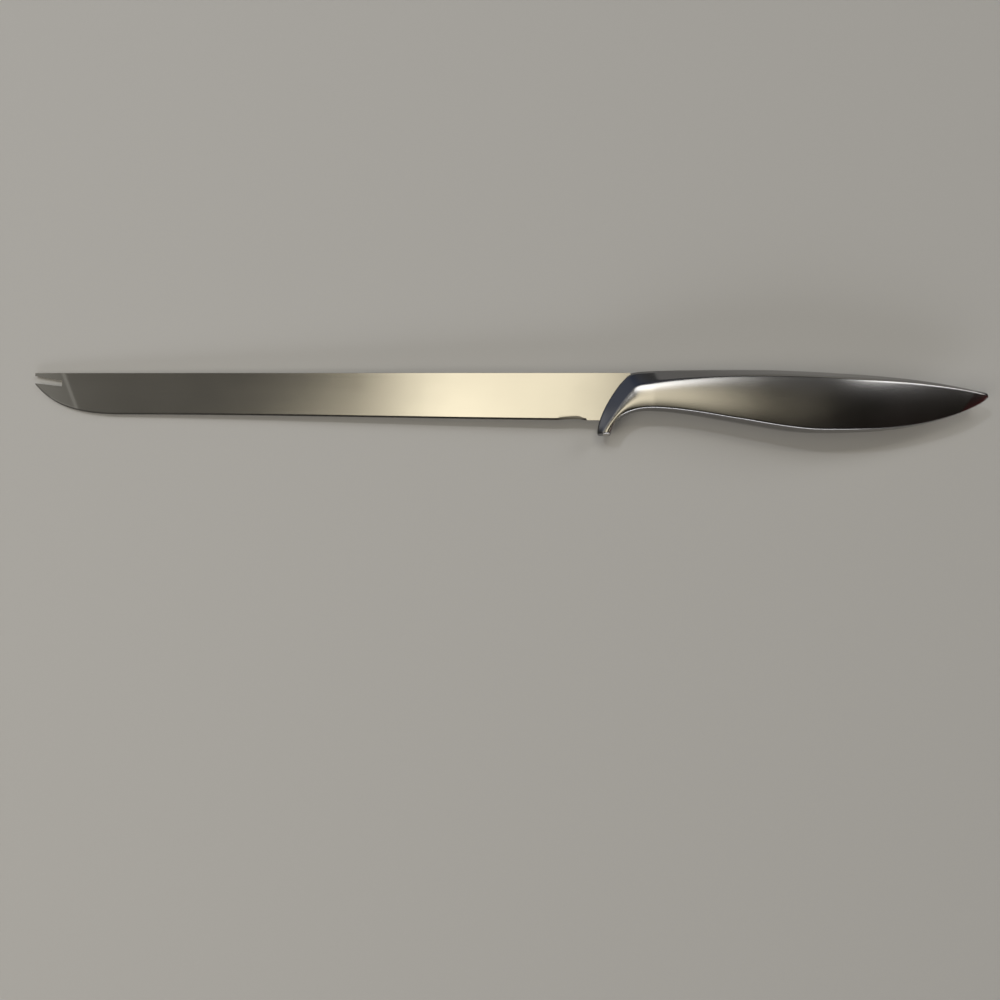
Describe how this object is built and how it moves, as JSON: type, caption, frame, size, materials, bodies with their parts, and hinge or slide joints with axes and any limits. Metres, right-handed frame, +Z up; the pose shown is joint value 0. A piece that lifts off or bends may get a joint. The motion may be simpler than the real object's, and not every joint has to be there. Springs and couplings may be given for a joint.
{
  "type": "carving knife",
  "caption": "Long slicing and carving knife with a forked serving tip, a flat-ground blade with a full-length tang, and a hollow steel handle with a drooping guard and a pointed butt.",
  "frame": {"origin": "the middle of the underside of the knife's box, as it lies on its right side", "axes": "+X along the knife from the forked tip to the butt, -Y the way the cutting edge faces, +Z up through the knife's thickness"},
  "size_m": [0.343, 0.0236, 0.0148],
  "materials": {
    "blade_steel": "satin stainless blade steel, fine lengthwise grain, honed edge",
    "handle_steel": "stainless steel, satin broad faces between polished bevels",
    "braze": "dull silver-brass braze inside the seam",
    "cement": "rough grey-brown cutler's cement"
  },
  "bodies": {
    "root": {"blade": "blade_steel", "left_handle_shell": "handle_steel", "right_handle_shell": "handle_steel", "seam_braze": "braze", "handle_filling": "cement"}
  },
  "joints": []
}
